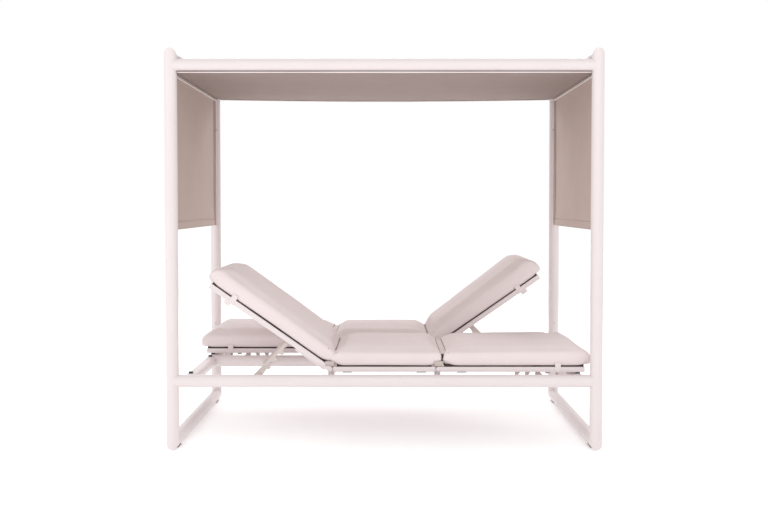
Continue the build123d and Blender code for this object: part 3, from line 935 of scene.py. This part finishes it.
# %% [markdown]
# ## Canopy
# The canopy is one sheet, held in a track on each side. It is pulled tight over the front rail and
# hangs a little more towards the back, with a faint ripple between. A simulated cloth would sag like
# this too, but would take long for a few millimetres, so a formula gives its height. Small squares are
# cut from its corners, where the posts stand.

# %% The canopy's form
CANOPY_HALF_X, CANOPY_HALF_Y, CANOPY_Z = 1.0655, 0.777, 1.9125
FRONT_SAG, CANOPY_SAG, BACK_SAG = 0.001, 0.011, 0.003
TIGHT_RUN = 0.35
RIPPLE, RIPPLE_X, RIPPLE_Y = 0.0012, 3.1, 2.3
CORNER_X, CORNER_Y = 1.0425, 0.7235
CLOTH_THICK = 0.0014


def steps_with(half, break_at, count):
    inner = np.linspace(-break_at, break_at, count)
    return np.concatenate(([-half], inner, [half]))


def canopy_height(x, y):
    across = 1 - (x / CANOPY_HALF_X) ** 2
    behind = min(1.0, max(0.0, (y + CANOPY_HALF_Y) / TIGHT_RUN))
    behind = behind * behind * (3 - 2 * behind)
    sag = FRONT_SAG + (CANOPY_SAG - FRONT_SAG) * behind
    sag += BACK_SAG * (y / CANOPY_HALF_Y - 1) / 2 * behind
    ripple = noise.noise(Vector((x * RIPPLE_X, y * RIPPLE_Y, 4.0))) * RIPPLE
    return CANOPY_Z - across * sag + ripple * across


def corner_free(place):
    return abs(place.x) < CORNER_X + 0.001 or abs(place.y) < CORNER_Y + 0.001


# %% Hang the canopy
canopy_xs = steps_with(CANOPY_HALF_X, CORNER_X, 70)
canopy_ys = steps_with(CANOPY_HALF_Y, CORNER_Y, 50)


def canopy_place(column, row):
    x, y = canopy_xs[column], canopy_ys[row]
    return (x, y, canopy_height(x, y))


canopy = thin_sheet(
    "canopy_sheet", len(canopy_xs), len(canopy_ys), canopy_place, canopy_cloth, CLOTH_THICK, corner_free
)
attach(canopy, "frame")
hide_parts("canopy_cloth")
print("canopy points:", len(canopy.data.vertices))

# %% [markdown]
# ### Canopy hems and pipings
# Front and back edges are folded under and sewn, which shows as a darker band with a pale cord. A
# tape under the sheet gives the fold its thickness, and a thin cord runs along each tape.

# %% Sew the hems and pipings
HEM_TAPES = (("canopy_front_hem", -0.775, -0.735), ("canopy_back_hem", 0.735, 0.775))
TAPE_THICK, TAPE_DOWN, TAPE_IN = 0.0012, 0.0017, 0.002


def hem_tape(name, y_from, y_to):
    xs = np.linspace(-CORNER_X + TAPE_IN, CORNER_X - TAPE_IN, 60)
    rows = [
        [Vector((x, y, canopy_height(x, y) - TAPE_DOWN)) for x in xs] for y in (y_from, y_to)
    ]
    tape = sheet_of_rows(name, rows, canopy_cloth, TAPE_THICK)
    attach(tape, "frame")
    return tape


def hem_cord(name, y, down, radius):
    xs = np.linspace(-CORNER_X + 2 * TAPE_IN, CORNER_X - 2 * TAPE_IN, 50)
    line = [Vector((x, y, canopy_height(x, y) - down)) for x in xs]
    cord = make_cord(name, line, radius, keder_paint)
    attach(cord, "frame")
    return cord


canopy_trims = [hem_tape(*tape) for tape in HEM_TAPES]
canopy_trims.append(hem_cord("canopy_front_piping", -0.7745, 0.0022, 0.0024))
canopy_trims.append(hem_cord("canopy_back_piping", 0.733, 0.0036, 0.0018))
print("canopy trims:", len(canopy_trims))

# %% [markdown]
# ## Side cloths
# Each side cloth hangs flat from the top rail and ends in a wide hem. Its lower back corner has worked
# loose from the track and curls in a little. A flat plane would look like a board, so the place of
# each point is worked out with some slack that grows downwards.

# %% The side cloth's form
SIDE_X, SIDE_HALF_Y, SIDE_LOW, SIDE_TOP = 1.080, 0.7255, 1.1155, 1.9675
HEM_H, HEM_OFF, HEM_THICK = 0.043, 0.0013, 0.0008
SLACK, SLACK_Y, SLACK_Z = 0.0012, 2.2, 1.1
TRACK_PLAY, LOOSE_IN, LOOSE_UP = 0.0005, 0.007, 0.003
LOOSE_FROM_Y, LOOSE_H = 0.50, 0.16


def side_place(side, y, z):
    share_down = 1 - (z - SIDE_LOW) / (SIDE_TOP - SIDE_LOW)
    slack = noise.noise(Vector((y * SLACK_Y, z * SLACK_Z, 3 + side * 5))) * SLACK * share_down
    towards_back = max(0.0, (y - LOOSE_FROM_Y) / (SIDE_HALF_Y - LOOSE_FROM_Y)) ** 2
    loose = towards_back * max(0.0, 1 - (z - SIDE_LOW) / LOOSE_H) ** 1.5
    x = side * (SIDE_X - TRACK_PLAY - abs(slack) - LOOSE_IN * loose)
    return (x, y, z + LOOSE_UP * loose)


# %% Hang the side cloths
side_ys = np.linspace(-SIDE_HALF_Y, SIDE_HALF_Y, 56)
side_zs = np.linspace(SIDE_LOW, SIDE_TOP, 40)


def side_hem(name, side, off):
    rows = []
    for z in np.linspace(SIDE_LOW, SIDE_LOW + HEM_H, 5):
        places = [side_place(side, y, z) for y in side_ys]
        rows.append([Vector((x + side * off, y, up)) for x, y, up in places])
    hem = sheet_of_rows(name, rows, side_cloth, HEM_THICK)
    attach(hem, "frame")
    return hem


def make_side(word, side):
    name, node = f"{word}_side_sheet", f"{word}_side_cloth"
    cloth = thin_sheet(
        name, len(side_ys), len(side_zs),
        lambda c, r: side_place(side, side_ys[c], side_zs[r]), side_cloth, CLOTH_THICK,
    )
    hems = [
        side_hem(f"{name}_{face_side}_hem", side, off)
        for face_side, off in (("inner", -HEM_OFF), ("outer", HEM_OFF))
    ]
    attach(cloth, "frame")
    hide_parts(node)
    print(name, "points:", len(cloth.data.vertices))


SIDES = (("left", -1), ("right", 1))
for word, side in SIDES:
    make_side(word, side)

# %% [markdown]
# ### Welt cords in the side tracks
# A cloth is held in a track by a cord sewn into its edge, called a keder. It shows as a pale line
# along the top of each side and down its back edge, with one dark band where two lengths meet.

# %% Lay the keders
KEDER_X, KEDER_TOP, KEDER_FOOT, KEDER_R = 1.0640, 1.8995, 1.1215, 0.0024
KEDER_FRONT_Y, KEDER_BACK_Y = -0.7245, 0.7120
BAND_Z, BAND_HALF, BAND_R = 1.7170, 0.006, 0.0034


def lay_keder(word, side):
    x = side * KEDER_X
    top_run = [Vector((x, y, KEDER_TOP)) for y in np.linspace(KEDER_FRONT_Y, KEDER_BACK_Y, 40)]
    down_run = [Vector((x, KEDER_BACK_Y, z)) for z in np.linspace(KEDER_TOP, KEDER_FOOT, 24)]
    keder = make_cord(f"{word}_keder", top_run + down_run[1:], KEDER_R, keder_paint)
    band_line = [Vector((x, KEDER_BACK_Y, BAND_Z + dz)) for dz in (-BAND_HALF, 0, BAND_HALF)]
    band = make_cord(f"{word}_keder_joint", band_line, BAND_R, tab_shade_and_joint_cloth)
    for piece in (keder, band):
        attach(piece, "frame")


for word, side in SIDES:
    lay_keder(word, side)
print("keders:", len(SIDES))

# %% [markdown]
# ## Floor, sky and lamps
# The studio is white all round, with a faint shadow under the frame. A floor that only catches
# shadows could be laid over a white picture. Here a real pale floor glows a little, so that its lit
# part is as white as the sky and only the shadow stays.

# %% Floor
FLOOR_GLOW = 0.24
FLOOR_HALF_WIDTH, FLOOR_FRONT, FLOOR_BACK = 30.0, -30.0, 60.0


def make_floor(half_width, front, back):
    form = bmesh.new()
    corners = ((-half_width, front), (half_width, front), (half_width, back), (-half_width, back))
    form.faces.new([form.verts.new((x, y, 0)) for x, y in corners])
    mesh = bpy.data.meshes.new("studio_floor")
    form.to_mesh(mesh)
    form.free()
    floor = bpy.data.objects.new("studio_floor", mesh)
    scene.collection.objects.link(floor)
    return floor


floor = make_floor(FLOOR_HALF_WIDTH, FLOOR_FRONT, FLOOR_BACK)
floor_paint = bpy.data.materials.new("studio_floor_paint")
floor_paint.use_nodes = True
surface = floor_paint.node_tree.nodes["Principled BSDF"]
surface.inputs["Base Color"].default_value = (0.95, 0.95, 0.95, 1)
surface.inputs["Roughness"].default_value = 0.9
surface.inputs["Specular IOR Level"].default_value = 0.0
surface.inputs["Emission Color"].default_value = (1, 1, 1, 1)
surface.inputs["Emission Strength"].default_value = FLOOR_GLOW
floor.data.materials.append(floor_paint)
print("floor:", [round(side, 1) for side in floor.dimensions])

# %% Sky
SKY_LIGHT = (0.86, 0.86, 0.865, 1)
world = bpy.data.worlds.new("studio_world")
scene.world = world
world.use_nodes = True
sky = world.node_tree.nodes["Background"]
path = world.node_tree.nodes.new("ShaderNodeLightPath")
seen_or_lit = world.node_tree.nodes.new("ShaderNodeMix")
seen_or_lit.data_type = "RGBA"
seen_or_lit.inputs[6].default_value = SKY_LIGHT
seen_or_lit.inputs[7].default_value = (1, 1, 1, 1)
world.node_tree.links.new(path.outputs["Is Camera Ray"], seen_or_lit.inputs[0])
world.node_tree.links.new(seen_or_lit.outputs[2], sky.inputs["Color"])
sky.inputs["Strength"].default_value = 1.0
print("sky:", SKY_LIGHT[:3])

# %% Lamps
LAMPS = (
    ("front_softbox", (0.8, -5.5, 3.2), (0, 0, 0.8), (5.0, 3.0), 60),
    ("left_softbox", (-4.5, -2.5, 2.0), (0, 0, 0.7), (3.0, 3.0), 30),
    ("back_softbox", (0.0, 5.5, 4.2), (0, 0, 0.45), (5.0, 2.5), 150),
)


def soft_lamp(name, place, aim, size, watts):
    lamp = bpy.data.lights.new(name, "AREA")
    lamp.shape = "RECTANGLE"
    lamp.size, lamp.size_y = size
    lamp.energy = watts
    holder = bpy.data.objects.new(name, lamp)
    holder.location = place
    holder.rotation_euler = (Vector(aim) - Vector(place)).to_track_quat("-Z", "Y").to_euler()
    scene.collection.objects.link(holder)


for lamp in LAMPS:
    soft_lamp(*lamp)
print("lamps:", len(LAMPS))

# %% [markdown]
# ## Camera
# The camera stands where the photograph was taken. It could be placed by eye, but then no outline
# would match. Its place, tilt and lens were solved from the frame's known sizes.

# %% Camera
CAMERA_PLACE = (0.013, -6.602, 1.2456)
CAMERA_DOWN, CAMERA_LEFT = 2.09, 0.14
PICTURE_SIZE = (768, 512)
FOCAL_PIXELS, SHIFT_PIXELS = 1156, -9.1
SENSOR = 36
camera_data = bpy.data.cameras.new("photo_camera")
camera_data.sensor_width = SENSOR
camera_data.lens = FOCAL_PIXELS * SENSOR / PICTURE_SIZE[0]
camera_data.shift_y = SHIFT_PIXELS / PICTURE_SIZE[0]
camera_data.clip_end = 200
camera = bpy.data.objects.new("photo_camera", camera_data)
camera.location = CAMERA_PLACE
camera.rotation_euler = (math.radians(90 - CAMERA_DOWN), 0, math.radians(CAMERA_LEFT))
scene.collection.objects.link(camera)
scene.camera = camera
scene.render.resolution_x, scene.render.resolution_y = PICTURE_SIZE
scene.view_settings.view_transform = "Standard"
print("lens:", round(camera_data.lens, 2), "mm")
